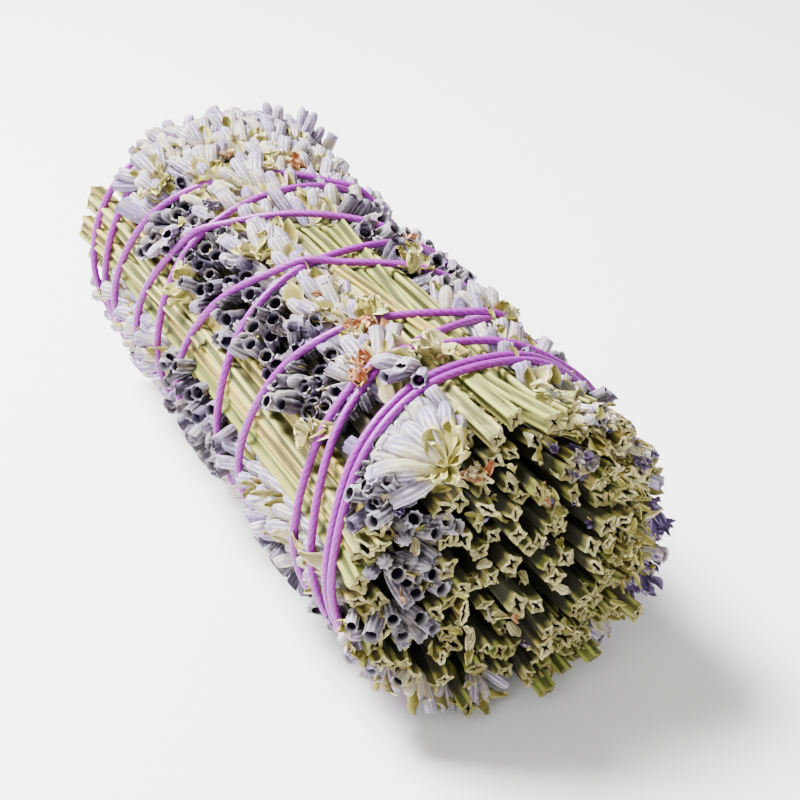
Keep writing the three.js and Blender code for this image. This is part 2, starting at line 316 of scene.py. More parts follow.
def noise(t, scale, detail=3, stretch=(1, 1, 1)):
    at = node(t, "ShaderNodeTexCoord", {}).outputs["Object"]
    at = node(t, "ShaderNodeMapping", {"Vector": at, "Scale": stretch}).outputs[0]
    return node(t, "ShaderNodeTexNoise", {"Vector": at, "Scale": scale, "Detail": detail}).outputs[0]


def finish(t, colour, roughness, specular, height, strength, distance):
    """The shader, with its colour, gloss and fine relief."""
    relief = node(t, "ShaderNodeBump", {"Strength": strength, "Distance": distance, "Height": height})
    look = {"Base Color": colour, "Roughness": roughness, "Specular IOR Level": specular}
    bsdf = node(t, "ShaderNodeBsdfPrincipled", {**look, "Normal": relief.outputs[0]})
    node(t, "ShaderNodeOutputMaterial", {"Surface": bsdf.outputs[0]})


def stem_material():
    """part: nearness to the cut end, which sets the painted shade on a buried stem's sides, rib, tone,
    and 0 outside, 0.34 to 0.55 on the cut, 1 in the hollow, which is painted in shade.
    """
    m, t = material("dry_stem")
    near, rib, tone, where = part_data(t)
    streak = noise(t, 900, 3, (1, 0.06, 1))
    blotch = noise(t, 130, 2)
    speck = noise(t, 2100, 2)
    # grooves darker than ribs: partly the stem's own colour, partly painted shade in the hollow sides
    col = over(t, (0.06, 0.06, 0.014), (0.4, 0.372, 0.112), rib, 0.12, 0.9)
    col = over(t, col, (0.52, 0.48, 0.175), streak, 0.45, 0.72, 0.6)
    col = over(t, col, (0.045, 0.042, 0.011), streak, 0.48, 0.3, 0.75)
    col = over(t, col, (0.15, 0.12, 0.04), blotch, 0.55, 0.75, 0.5)
    col = over(t, col, (0.62, 0.72, 0.4), tone, 0.5, 0, 1, "MULTIPLY")
    col = over(t, col, (0.92, 0.74, 0.48), tone, 0.6, 1, 1, "MULTIPLY")
    cut = over(t, (0.25, 0.22, 0.075), (0.58, 0.53, 0.27), streak, 0.3, 0.7)
    cut = over(t, cut, (0.52, 0.48, 0.32), tone, 0.65, 0.05, 0.9, "MULTIPLY")
    cut = over(t, cut, (0.15, 0.13, 0.065), speck, 0.52, 0.36, 0.7)
    # painted shade: a buried stem's sides go dark away from its lit cut ends
    col = over(t, col, (0.026, 0.024, 0.015), near, 0.97, 0.3, 0.97)
    col = over(t, col, cut, where, 0.2, 0.45)
    # painted shade: the hollow inside the cut end is near black
    col = over(t, col, (0.012, 0.01, 0.003), where, 0.6, 0.9)
    finish(t, col, 0.72, 0.25, streak, 0.5, 0.0002)
    return m


def calyx_material(name, groove, ridge, base, tip, shade, straw, hair):
    """part: place from base to tip, rib, tone, and 1 inside the mouth, where it is painted in shade."""
    m, t = material(name)
    along, rib, tone, inside = part_data(t)
    fine = noise(t, 1700, 3)
    mottle = noise(t, 700, 2)
    soft = noise(t, 260, 2)
    uneven = calculated(t, "MULTIPLY", calculated(t, "SUBTRACT", mottle, 0.5), 1.1)
    col = over(t, groove, ridge, calculated(t, "ADD", rib, uneven), 0.2, 1)
    col = over(t, col, tip, along, 0.55, 1, 0.5)
    col = over(t, col, base, along, 0.42, 0, 0.85)
    col = over(t, col, straw, tone, 0.68, 1, 0.6)
    col = over(t, col, shade, tone, 0.55, 0, 0.8)
    col = over(t, col, base, soft, 0.5, 0.72, 0.55)
    col = over(t, col, groove, mottle, 0.5, 0.34, 0.6)
    col = over(t, col, hair, fine, 0.56, 0.78, 0.5)
    # painted shade: near black deep in the open mouths
    col = over(t, col, (0.008, 0.005, 0.013), inside, 0.3, 0.9)
    finish(t, col, 0.85, 0.15, fine, 0.5, 0.00015)
    return m


def leaf_material(name, body, edge, vein):
    """part: place from base to tip, nearness to the edge, tone, vein."""
    m, t = material(name)
    along, rim, tone, veined = part_data(t)
    fine = noise(t, 1500, 3)
    soft = noise(t, 350, 2)
    col = over(t, body, edge, rim, 0.5, 1)
    col = over(t, col, edge, along, 0.3, 0, 0.6)
    col = over(t, col, (0.62, 0.56, 0.36), tone, 0.5, 1, 0.7)
    col = mix(t, calculated(t, "MULTIPLY", veined, 0.75), col, vein)
    col = over(t, col, vein, soft, 0.5, 0.72, 0.5)
    col = over(t, col, edge, fine, 0.55, 0.8, 0.4)
    finish(t, col, 0.7, 0.2, fine, 0.4, 0.00015)
    return m


def string_material():
    """part: how deep between the plies, where it is painted in shade. The other three are unused."""
    m, t = material("purple_string")
    fibre_and_glint = noise(t, 2600, 3)
    # painted shade: darker deep between the plies
    col = over(t, (0.255, 0.01, 0.295), (0.105, 0.003, 0.135), part_data(t)[0], 0, 1)
    # painted highlight: lighter glints on the fibres
    col = over(t, col, (0.43, 0.06, 0.48), fibre_and_glint, 0.5, 0.8, 0.4)
    finish(t, col, 0.42, 0.5, fibre_and_glint, 0.35, 0.00012)
    return m


MAT = {
    "stem": stem_material(),
    "pale": calyx_material(
        "pale_calyx",
        groove=(0.205, 0.165, 0.245),
        ridge=(0.63, 0.58, 0.605),
        base=(0.35, 0.325, 0.085),
        tip=(0.325, 0.26, 0.425),
        shade=(0.165, 0.118, 0.255),
        straw=(0.48, 0.43, 0.25),
        hair=(0.7, 0.66, 0.69),
    ),
    "dark": calyx_material(
        "dark_calyx",
        groove=(0.054, 0.042, 0.07),
        ridge=(0.405, 0.37, 0.385),
        base=(0.1, 0.088, 0.04),
        tip=(0.33, 0.3, 0.345),
        shade=(0.064, 0.046, 0.106),
        straw=(0.31, 0.275, 0.25),
        hair=(0.45, 0.42, 0.46),
    ),
    "bract": leaf_material("papery_bract", (0.31, 0.285, 0.06), (0.54, 0.49, 0.19), (0.12, 0.085, 0.018)),
    "petal": leaf_material(
        "violet_petal", (0.072, 0.047, 0.118), (0.19, 0.135, 0.27), (0.022, 0.013, 0.036)
    ),
    "brown": leaf_material("dried_petal", (0.38, 0.13, 0.045), (0.54, 0.31, 0.16), (0.11, 0.035, 0.011)),
    "string": string_material(),
}


# ---- small parts

RIBS = 8


def calyx(piece, base, direction, length, width, lean, tone, is_open, flat=1):
    """A ribbed tube that swells from its foot, with a toothed mouth or a closed, rounded end."""
    direction = unit(direction)
    if is_open:
        s = vec(0, 0.06, 0.2, 0.42, 0.66, 0.86, 1)
        w = vec(0.3, 0.52, 0.8, 0.97, 1, 0.95, 0.98)
    else:
        s = vec(0, 0.06, 0.2, 0.42, 0.64, 0.8, 0.92, 0.99)
        w = vec(0.3, 0.5, 0.78, 0.96, 1, 0.9, 0.62, 0.22)
    cols = 2 * RIBS
    k = np.arange(cols)
    phi = ring(cols) + draw(0, 6)
    rib = 1 - k % 2
    depth = 0.1 * (1 + 0.25 * draw(-1, 1, cols // 2)).repeat(2)
    radii = width * w[:, None] * (1 + depth * (rib - 0.5) * 2 * smooth(w, 0.2, 0.7)[:, None])
    side = np.cross(direction, lean)

    def tube(s, radii):
        path = base + length * (s[:, None] * direction + 0.1 * (s**2)[:, None] * lean)
        P = sweep(path, side, radii, phi)
        return P + (flat - 1) * ((P - path[:, None]) @ lean)[..., None] * lean

    P = tube(s, radii)
    if is_open:
        teeth = 0.05 * length * np.cos(2.5 * (phi - phi[0])) ** 2 * np.where(k % 4 < 2, 1, 0.6)
        P[-1] += teeth[:, None] * direction
    piece.grid(P, (s[:, None], rib, tone), tips=[] if is_open else [-1])
    if is_open:
        inner = width * vec(0.4, 0.74, 0.8, 0.98)
        Q = tube(vec(0.55, 0.8, 0.97, 1), inner[:, None] * np.ones(cols))[::-1]
        Q[0] = P[-1]
        # the fourth value, 0 at the rim to 1 deep inside, sets the painted shade in the mouth
        piece.grid(Q, (1, 0.75, tone, vec(0, 0.45, 0.9, 1)[:, None]), tips=[-1])


def leaf(piece, base, direction, normal, length, width, tone, cup, curl, ruffle=0.12, blunt=0):
    """A thin leaf, bract or petal: cupped across, curled along and ruffled at its edge."""
    direction = unit(direction)
    normal = unit(normal - (normal @ direction) * direction)
    side = np.cross(direction, normal)
    rows, cols = (12, 11) if blunt else (8, 5)
    s = np.linspace(0, 1, rows)[:, None]
    u = np.linspace(-1, 1, cols)[None]
    pointed = np.sin(np.pi * np.clip(s * 0.93 + 0.05, 0, 1) ** 0.75) ** 0.8 + 0.06
    wide = np.minimum(1, 0.16 + 1.5 * s**0.9) * np.sqrt(np.maximum(0, 1 - s**7) + 0.02)
    shape = (1 - blunt) * pointed + blunt * wide
    phase = draw(0, 6, 3)
    folds = np.sin(7 * s + phase[0]) * u**2 + 0.5 * np.sin((5 + 4 * blunt) * u + 9 * s + phase[1])
    wave = ruffle * length * folds
    lift = cup * width * (u**2) * shape - curl * length * s**2 + wave * s
    torn = 1 + blunt * s**3 * (0.1 * np.sin(11 * u + phase[2]) + 0.06 * np.sin(23 * u + phase[0]))
    along, across = length * (s * torn)[..., None], (width * u * shape)[..., None]
    P = base + along * direction + across * side + lift[..., None] * normal
    veins = np.clip(1 - np.abs(u) * 5, 0, 1) + 0.5 * (np.abs(np.abs(u) - 0.6) < 0.12)
    piece.grid(P, (s, np.abs(u), tone, veins), closed=False)


def lobes(direction, count, uneven):
    """The directions in which the lobes of a flower stand off its middle line, one after another."""
    ref = unit(np.cross(direction, [0.3, 0.2, 0.9]))
    other = np.cross(direction, ref)
    for k in range(count):
        a = 2 * np.pi * (k + draw(-uneven, uneven)) / count
        yield cos(a) * ref + sin(a) * other


def withered(piece, centre, direction, length, tone):
    """A long dried corolla: a few narrow crumpled lobes that lie together."""
    direction = unit(direction)
    for out in lobes(direction, 5, 0.3):
        go = unit(direction + out * draw(0.05, 0.35))
        size, wide = length * draw(0.7, 1.05), draw(0.28, 0.48)
        leaf(piece, centre + out * 0.15, go, out, size, wide, tone, 0.9, draw(-0.25, 0.3), 0.16, 0.7)


def flower(piece, centre, direction, size, tone):
    """A small dried corolla: crumpled lobes round a throat."""
    direction = unit(direction)
    for out in lobes(direction, 6, 0.35):
        go = unit(out * draw(0.2, 0.9) + direction * draw(0.3, 1))
        at = centre + out * size * 0.12
        long, wide = size * draw(0.55, 0.95), size * draw(0.28, 0.42)
        leaf(piece, at, go, direction, long, wide, tone, 0.8, draw(-0.6, 0.6), 0.28, 0.8)


# ---- stems

SECTION_DEG = vec(0, 9, 20, 34, 56, 70, 81)
SECTION_R = vec(1.36, 1.29, 1.06, 0.9, 0.9, 1.06, 1.29)
PHI = np.radians(np.concatenate([SECTION_DEG + 90 * k for k in range(4)]))
STAR = np.tile(SECTION_R, 4)
RIB = np.tile(vec(1, 0.85, 0.35, 0, 0, 0.35, 0.85), 4)
HOLLOW = vec(0.34, 0.55, 0.95, 1, 1)  # from the cut to the inside, for the material, which paints the hollow in shade
FROM_END = vec(0, 0.7, 1.8, 3.6)  # where a stem has rows of points near its ends
SIDEWAYS = vec(1, 0, 0)


def stem(piece, where, y_near, y_far, size, roll, buried=True, far_end=True, step=12, lit=4.5, swell=0):
    """A square stem with hollowed sides and open ends, along the middle line where(y). lit is how far the
    painted light reaches in from its ends; further in, the sides of a buried stem are painted in shade. swell
    is how much thicker it is inside the bunch."""
    inner = np.arange(y_near + 6, y_far - 6, step)
    ys = np.concatenate([y_near + FROM_END, inner, y_far - FROM_END])
    ys = np.unique(np.clip(ys, y_near, y_far))
    path = where(ys)
    corner = 1 + 0.12 * draw(-1, 1) * np.cos(2 * (PHI - draw(0, 3)))
    wall = size * STAR * corner * (1 + 0.035 * draw(-1, 1, len(PHI)))
    twist = roll + np.radians(draw(-9, 9)) * (ys / 50)
    angles = PHI[None] + twist[:, None]
    radii = np.repeat(wall[None], len(ys), 0) * (1 + 0.03 * np.sin(ys * 0.21 + draw(0, 6)))[:, None]
    radii = radii * (1 + swell * smooth(42 - np.abs(ys), 0, 16))[:, None]
    P = sweep(path, SIDEWAYS, radii, angles)
    tone = draw()
    for row in (0, -1):
        slope = rng.normal(0, 0.24, 2)
        crush = 1 + draw(0, 0.3) * np.cos(2 * (PHI - draw(0, 3)))
        P[row] = path[row] + (P[row] - path[row]) * crush[:, None]
        off = P[row] - path[row]
        P[row, :, 1] += off[:, 0] * slope[0] + off[:, 2] * slope[1] + rng.normal(0, 0.08, len(PHI))
    light_near, light_far = smooth(-ys, -y_near - lit, -y_near), smooth(ys, y_far - lit, y_far)
    end_light = np.maximum(light_near, light_far)[:, None] if buried else 1
    piece.grid(P, (end_light, RIB, tone))
    ends = ((-1, 0), (1, -1)) if far_end else ((-1, 0),)
    for end, row in ends:
        middle = path[row]
        outer = P[row]
        spoke = outer - middle
        reach = np.linalg.norm(spoke, axis=1, keepdims=True)
        thick = size * (0.58 + 0.09 * draw(-1, 1))
        rim = middle + spoke * np.maximum(0.26, (reach - thick) / reach)
        back = vec(0, -end, 0)
        lip = rim + back * 0.5
        deep = middle + (rim - middle) * 0.8 + back * 3.2
        R = np.stack([outer, rim, lip, deep, middle + (deep - middle) * 0.2 + back * 0.2])
        piece.grid(R[:, ::end], (1, RIB[::end], tone, HOLLOW[:, None]), tips=[-1])


def flat_out(deg, loose=0.4):
    """The roll of a stem that lies with a flat side outward, more or less."""
    return pi / 4 - radians(deg) + draw(-loose, loose)


def cut_at(r, end):
    """Where a stem is cut. The further out it is, the shorter."""
    return end * (HALF - 2.6 * (r / RING_R) ** 2 - draw(0, 3.2))


SPLAY_FROM = 36  # from here on, stems lean outward towards both ends


def splayed(x, z, lean_near, lean_far, bow, sway):
    """The middle line of a stem that runs nearly straight inside and leans out at both ends."""
    off = draw(-sway, sway, (2, 2))
    phase = draw(0, 6)

    def where(y):
        far = np.maximum(0, y - SPLAY_FROM)
        near = np.maximum(0, -SPLAY_FROM - y)
        grow = 1 + near * lean_near + far * lean_far
        inside = bow * smooth(46 - np.abs(y), 0, 12)
        bent_x = inside * np.sin(y * 0.11 + phase) + (near * off[0, 0] + far * off[1, 0]) / 14
        bent_z = inside * np.cos(y * 0.09 + phase) + (near * off[0, 1] + far * off[1, 1]) / 14
        return np.stack([x * grow + bent_x, y, AXIS_Z + z * grow + bent_z], -1)

    return where


PACKED_R = 14.4
PITCH = 2.62  # from stem to stem
LEAN = 0.0085  # how much further out they get with each millimetre from SPLAY_FROM on
# A flower head is caught between the stems of the near end: its middle, and half its width and height.
TUFT_X, TUFT_Z, TUFT_WIDE, TUFT_HIGH = -11.6, 3.2, 3.1, 6.6


def packed_stems(piece):
    """The stems in the middle of the bunch, in rows."""
    row_height = PITCH * sqrt(3) / 2
    for row in range(-7, 8):
        for place in range(-7, 8):
            x = (place + (0.5 if row % 2 else 0)) * PITCH + draw(-0.3, 0.3)
            z = row * row_height + draw(-0.28, 0.28)
            r = hypot(x, z)
            if r > PACKED_R:
                continue
            near = cut_at(r, -1) + draw(-0.5, 1.5)
            if draw() < 0.13:
                near += draw(1.5, 4.5)
            if ((x - TUFT_X) / TUFT_WIDE) ** 2 + ((z - TUFT_Z) / TUFT_HIGH) ** 2 < 1:
                near += 6.5
            elif r > 12 and abs(x) < 7 and z > 0:
                near += 3.4
            where = splayed(x, z, LEAN * draw(0.1, 1.7), LEAN, draw(0.2, 0.5), 0.75)
            # painted light: higher stems stay lit further in from their cut ends
            lit = 2 + 1.9 * smooth(z, 3, 14)
            size = draw(0.68, 0.97)
            stem(piece, where, near, cut_at(r, 1), size, draw(0, 1.57), lit=lit, swell=0.6)


def ring_stems(piece):
    """The ring round them, left out where stems lie bare on the outside."""
    count = 41
    for i in range(count):
        deg = 360 * i / count + draw(-1, 1)
        if abs(turn(deg, LEFT_BAND)) < 14 or abs(turn(deg, TOP_BAND)) < 13:
            continue
        r = RING_R + draw(-0.25, 0.2)
        x, z = r * cos(radians(deg)), r * sin(radians(deg))
        near, far = cut_at(r, -1), cut_at(r, 1)
        if abs(turn(deg, 120)) < 17:
            near = -43
        where = splayed(x, z, 0.0095 * draw(0.3, 1.5), 0.0075 * draw(0.4, 1.5), 0, 0.5)
        roll = flat_out(deg)
        stem(piece, where, near, far, draw(0.78, 1), roll, lit=3.6)


def lying(deg, r, drift, wave, dive=None, open_out=None):
    """The middle line of a stem that lies on the outside of the bunch, and dives under a head at y = dive."""
    phase = draw(0, 6)
    rise = draw(0.05, 0.16)
    if open_out is None:
        open_out = draw(-0.32, 0.32)

    def where(y):
        a = deg + drift * y / 50 + wave * np.sin(y * 0.05 + phase)
        level = np.full_like(y, r)
        if dive is not None:
            level = level - 1.5 * smooth(y, dive - 5, dive + 5)
        loose = np.maximum(0, -40.5 - y)
        level = level + rise * loose + flare(y) - 0.1 * np.sin(y * 0.09 + phase)
        return on_bunch(level, a + open_out * loose, y)

    return where


LEFT_STEMS = [  # angle, how far out, drift round the bunch, size
    (149.8, 16.9, 1.5, 0.86), (156.6, 17.3, -1.6, 0.94), (163.4, 17.2, 1, 0.88), (170, 17, -1.4, 0.92),
    (175.5, 16.5, 0.5, 0.86), (160.2, 16.2, 2.5, 0.74), (167, 16.1, -3, 0.74),
]
TOP_STEMS = [  # angle, how far out, drift, y of the near cut, size, how much it leans aside at the near end
    (76.5, 16.9, 3, -47.6, 0.86, -0.68), (83.8, 17.3, -2.5, -50, 0.92, -0.66),
    (91.4, 17.25, 2, -48.2, 0.86, 0.2), (98.6, 17, -3, -50.6, 0.92, 0.05),
    (87.5, 16.2, -3.5, -39.6, 0.74, 0), (95, 16.2, 3, -40, 0.74, 0),
    (104.5, 16.6, -1, -47, 0.84, 0.55),
]
CROSSING_STEMS = [  # angle, drift, y from and to, how far out
    (92, 22, -33.5, -6, 18.05), (84, -16, -22, 8, 17.95), (161, 9, 2, 38, 18),
]
UNDER_R = 15.1  # how far out the stems under the bare ones are


def bare_stems(piece):
    """The two bare bands, with stems under them and short ones that lie across them, under the string."""
    for deg, r, drift, size in LEFT_STEMS:
        near, far = -draw(45.5, 49.5), draw(49.5, 52.8)
        roll = flat_out(deg, 0.35)
        stem(piece, lying(deg, r, drift, 0.8), near, far, size, roll, False, step=5)
    for deg in (152, 158.5, 165, 170):
        where = lying(deg, UNDER_R, 0.5, 0.4)
        stem(piece, where, cut_at(15, -1), cut_at(15, 1), 0.92, draw(0, 1.5))
    for deg, r, drift, near, size, open_out in TOP_STEMS:
        roll = flat_out(deg)
        where = lying(deg, r, drift, 1, 10, open_out)
        stem(piece, where, near, cut_at(16, 1), size, roll, False, step=5)
    for deg in (80, 86, 92, 97.5):
        where, near = lying(deg, UNDER_R, 0.5, 0.4), draw(-42.5, -40.5)
        stem(piece, where, near, cut_at(15, 1), 0.84, draw(0, 1.5), lit=3)
    for deg, drift, low, high, r in CROSSING_STEMS:
        middle = (low + high) / 2
        where = lying(deg - drift * middle / 50, r, drift, 0.3)
        stem(piece, where, low, high, 0.72, draw(0, 1.5), False, step=4)


stems, outside = Piece(), Piece()
packed_stems(stems)
ring_stems(stems)
bare_stems(outside)
stems.make("stems_fine", "stem", "stem_straw", ["stems"])
outside.make("bare_stems_fine", "stem", "stem_straw", ["stems"])


# ---- string


def crossing(deg, y, other):
    """How near, from 0 to 1, the string is to a place where it crosses the other winding."""
    near = np.zeros_like(y)
    unrolled, other_y = -other[0], other[1]
    for turn_no in range(-1, 9):
        at = (-deg) % 360 + 360 * turn_no
        inside = (at > unrolled[0] + 25) & (at < unrolled[-1] - 25)
        d = np.abs(np.interp(at, unrolled, other_y) - y) * 0.93
        near = np.maximum(near, np.where(inside, np.exp(-((d / 1.35) ** 2)), 0))
    return near


def eased(values):
    """Rounds off sudden changes along the string."""
    width = 8
    k = np.hanning(2 * width + 3)[1:-1]
    return np.convolve(np.pad(values, width, "edge"), k / k.sum(), "valid")


def string_path():
    """The middle line of the whole string, out and back, the second winding over the first. On the underside
    the outer strand has less room to rise."""
    under = [band(deg, 270, 40, 10) for deg, _ in (OUT, BACK)]
    sink = -0.46 * under[0] * crossing(*OUT, BACK)
    rise = (0.97 - 0.5 * under[1]) * crossing(*BACK, OUT)
    deg = np.concatenate([OUT[0], BACK[0][1:]])
    y = eased(np.concatenate([OUT[1], BACK[1][1:]]))
    level = string_level(deg, y) + np.concatenate([sink, rise[1:]])
    return on_bunch(eased(level), deg, y)


def cord(piece, rough):
    """Four plies laid round each other along the rough path. Returns the string's length."""
    step, lay, cols = 0.34, 4.2, 18
    length = np.concatenate([[0], np.cumsum(np.linalg.norm(np.diff(rough, axis=0), axis=1))])
    n = int(length[-1] / step)
    at = np.linspace(0, length[-1], n)
    path = np.stack([np.interp(at, length, rough[:, k]) for k in range(3)], -1)
    phi = ring(cols)
    twist = at * (2 * np.pi / lay)
    lobe = np.abs(np.cos(2 * (phi[None] - twist[:, None])))
    radii = STRING_R * (0.955 + 0.045 * lobe)
    outward = path - np.stack([np.zeros(n), path[:, 1], np.full(n, AXIS_Z)], -1)
    P = sweep(path, outward, radii, phi)
    # the value, 1 deep between the plies, sets the painted shade there
    piece.grid(P, [1 - smooth(lobe, 0.1, 0.6)], tips=[0, -1])
    return length[-1]


def knot(piece):
    """An overhand knot on the right side, with two short ends, where the winding starts and ends."""
    t = np.linspace(0, 2 * np.pi, 90)
    a = np.sin(t) + 1.6 * np.sin(2 * t)
    b = np.cos(t) - 1.6 * np.cos(2 * t)
    c = -np.sin(3 * t)
    centre = on_bunch(STRING_OUT + 0.25, 0, WIND_OUT[0])
    path = centre + 0.62 * np.stack([0.55 * c, a, b], -1)
    P = sweep(path, vec(1, 0.05, 0.02), np.full((90, 12), 0.42), ring(12))
    piece.grid(P)
    for dy, dz in ((1, 0.35), (-0.8, -0.6)):
        s = np.linspace(0, 1, 12)[:, None]
        path = centre + vec(0.2, 0, 0) + s * vec(0.1, 5.5 * dy, 5 * dz)
        P = sweep(path - s**2 * vec(1.2, 0, 0), SIDEWAYS, np.full((12, 12), 0.45), ring(12))
        piece.grid(P, tips=[0, -1])


string = Piece()
string_length = cord(string, string_path())
knot(string)
string.make("string_fine", "string", "string_purple", ["string"])
print("string length, mm:", round(string_length))


# ---- flower heads

NEAR, FAR = -40.2, 40.2
WHORL_STEP, PALE_STEP = 3.9, 1.14  # between the whorls of a pale head, and between the calyces of a whorl
DARK_ALONG, DARK_ACROSS = 2.2, 2  # between the calyces of a dark head
COLUMNS = [  # name, angles from and to, and for each head: y from and to, way the tips point, colour
    ("upper_left", 123, 147, [(-34, -1, -1, "dark"), (0, 33, -1, "dark"), (34, FAR, 1, "pale")]),
    ("top_left", 102, 122, [(-34, -9, 1, "pale"), (-8, 16, 1, "pale"), (17, FAR, 1, "pale")]),
    ("top", 75, 101, [(11, FAR, 1, "pale")]),
    ("upper_right", 41, 74, [(NEAR, -14, 1, "pale"), (-13, 13, -1, "dark"), (14, FAR, 1, "pale")]),
    ("right", 7, 40, [(NEAR, -12, -1, "dark"), (-11, 15, 1, "pale"), (16, FAR, 1, "pale")]),
    ("lower_right", -27, 6, [(NEAR, -15, 1, "pale"), (-14, 12, 1, "pale"), (13, FAR, -1, "dark")]),
    ("under_right", -61, -28, [(NEAR, -13, 1, "pale"), (-12, 14, -1, "dark"), (15, FAR, 1, "pale")]),
    ("under", -95, -62, [(NEAR, -14, -1, "dark"), (-13, 13, 1, "dark"), (14, FAR, 1, "dark")]),
    ("under_left", -129, -96, [(NEAR, -12, 1, "pale"), (-11, 15, 1, "dark"), (16, FAR, -1, "pale")]),
    ("lower_left", -159, -130, [(NEAR, -15, -1, "dark"), (-14, 12, 1, "pale"), (13, FAR, 1, "pale")]),
    ("left", -187, -160, [(NEAR, -13, 1, "pale"), (-12, 14, -1, "dark"), (15, FAR, 1, "pale")]),
]

bracts, petals, browns = Piece(), Piece(), Piece()


def aim(deg, way, tilt, swing):
    """A direction along the bunch, lifted off it by tilt and swung round it by swing."""
    a, b = radians(tilt), radians(swing)
    along = way * cos(a) * cos(b) * vec(0, 1, 0)
    return along + cos(a) * sin(b) * around(deg) + sin(a) * radial(deg)


def fan(piece, foot, axis, normal, count, spread, length, width, open_share=0.4, tones=(0.1, 0.9), lift=25):
    """A whorl: calyces that leave one foot together and open like a fan."""
    axis = unit(axis)
    normal = unit(normal - (normal @ axis) * axis)
    side = np.cross(axis, normal)
    for k in range(count):
        u = (k + 0.5) / count * 2 - 1 + draw(-0.12, 0.12)
        upper = k % 2
        swing = radians(u * spread)
        rise = radians((lift if upper else lift * 0.3) * draw(0.6, 1.3) * (1 - 0.35 * abs(u)))
        go = cos(rise) * (cos(swing) * axis + sin(swing) * side) + sin(rise) * normal
        base = foot + side * u * width * 1.3 + normal * (0.3 * upper)
        long, wide = length * draw(0.86, 1.1), width * draw(0.88, 1.1)
        tone, is_open = draw(*tones), draw() < open_share
        calyx(piece, base, go, long, wide, normal, tone, is_open, draw(0.8, 1))


def frill(foot, axis, normal, count, size):
    """Papery bracts round the foot of a whorl."""
    for _ in range(count):
        swing = radians(draw(-70, 70))
        side = np.cross(axis, normal)
        go = cos(swing) * axis + sin(swing) * side + draw(0.15, 0.9) * normal
        at = foot + side * sin(swing) * 0.8 + normal * 0.2
        grown = size * draw(0.6, 1.1)
        wide, tone = grown * draw(0.22, 0.36), draw()
        leaf(bracts, at, go, normal, grown, wide, tone, 0.6, draw(-0.2, 0.3), 0.14)


def pale_head(piece, a0, a1, y0, y1, way):
    """Whorls of mostly closed calyces, each over the foot of the next, with papery bracts at their feet."""
    middle, half = (a0 + a1) / 2, (a1 - a0) / 2
    count = max(2, round((y1 - y0) / WHORL_STEP))
    across = max(4, round(radians(2 * half) * 17.6 / PALE_STEP))
    for w in range(count):
        foot_y = y0 + (w + 0.5) / count * (y1 - y0) - way * 3
        skew = draw(-10, 10)
        for i in range(across):
            u = np.clip((i + 0.5) / across * 2 - 1 + draw(-0.1, 0.1), -0.95, 0.95)
            deg = middle + half * 0.86 * u
            swing = u * draw(12, 40) + skew + draw(-9, 9)
            if bare(deg + copysign(11, swing), foot_y) > 0.5:
                swing *= 0.25
            level = i % 3
            tilt = (10, 25, 42)[level] + draw(-8, 10)
            length = draw(5, 6.4) - 0.5 * level
            r = 16.35 + 0.25 * level + draw(0, 0.3)
            base = on_bunch(r, deg, foot_y + way * (0.9 * level + draw(-0.7, 0.7)))
            is_open, width, tone = draw() < 0.3, draw(0.74, 0.98), draw()
            go, flat = aim(deg, way, tilt, swing), draw(0.8, 1)
            calyx(piece, base, go, length, width, radial(deg), tone, is_open, flat)
        for _ in range(rng.integers(3, 6)):
            deg = middle + half * draw(-0.85, 0.85)
            at = on_bunch(17.5, deg, foot_y + way * draw(-0.5, 2.2))
            go = aim(deg, way, draw(22, 58), draw(-70, 70))
            long, wide, tone = draw(2.2, 4), draw(0.6, 1.2), draw()
            leaf(bracts, at, go, radial(deg), long, wide, tone, 0.5, draw(-0.2, 0.35))


def dark_head(piece, a0, a1, y0, y1, way):
    """Short calyces crowded side by side, with their dark mouths outward."""
    middle, half = (a0 + a1) / 2, (a1 - a0) / 2
    across = max(2, round(radians(2 * half) * 18.6 / DARK_ACROSS))
    rows = max(1, round((y1 - y0) / DARK_ALONG))
    phase = draw(0, 6)
    for row in range(rows):
        shift = draw(-0.12, 0.12)
        for i in range(across + row % 2):
            if draw() < 0.05:
                continue
            u = (i + 0.5 - 0.5 * (row % 2)) / across * 2 - 1 + shift + draw(-0.13, 0.13)
            deg = middle + half * np.clip(u, -0.97, 0.97)
            y = y0 + (row + 0.5 + draw(-0.34, 0.34)) / rows * (y1 - y0) - way * 1.5
            flow = sin(0.42 * y + 0.11 * deg + phase)
            tilt = 48 + 14 * flow + draw(-14, 12)
            swing = 24 * sin(0.31 * y - 0.09 * deg + 2 * phase) + draw(-22, 22)
            length = draw(4, 5.5)
            base = on_bunch(15.8 + draw(0, 0.6), deg, y)
            tone, width, is_open = draw(0, 0.9), draw(0.74, 1.02), draw() < 0.85
            go, flat = aim(deg, way, tilt, swing), draw(0.85, 1)
            calyx(piece, base, go, length, width, radial(deg), tone, is_open, flat)
            if draw() < 0.1:
                at = on_bunch(17.9, deg, y + way * 2)
                go = aim(deg, way, 60, draw(-80, 80))
                leaf(bracts, at, go, radial(deg), draw(1.5, 2.6), 0.6, draw(), 0.5, 0.1)


WHORL_BRACTS = [  # swing, tilt, length, width
    (-28, 38, 4.4, 1.25), (-52, 30, 4.8, 1.35), (-84, 14, 4, 1.3), (36, 46, 3.2, 1), (4, 52, 3, 1),
    (78, 14, 3.2, 1), (-120, 6, 3, 1.2), (170, 10, 2.6, 1), (130, 8, 2.8, 1), (-40, 8, 4.2, 1.2),
]


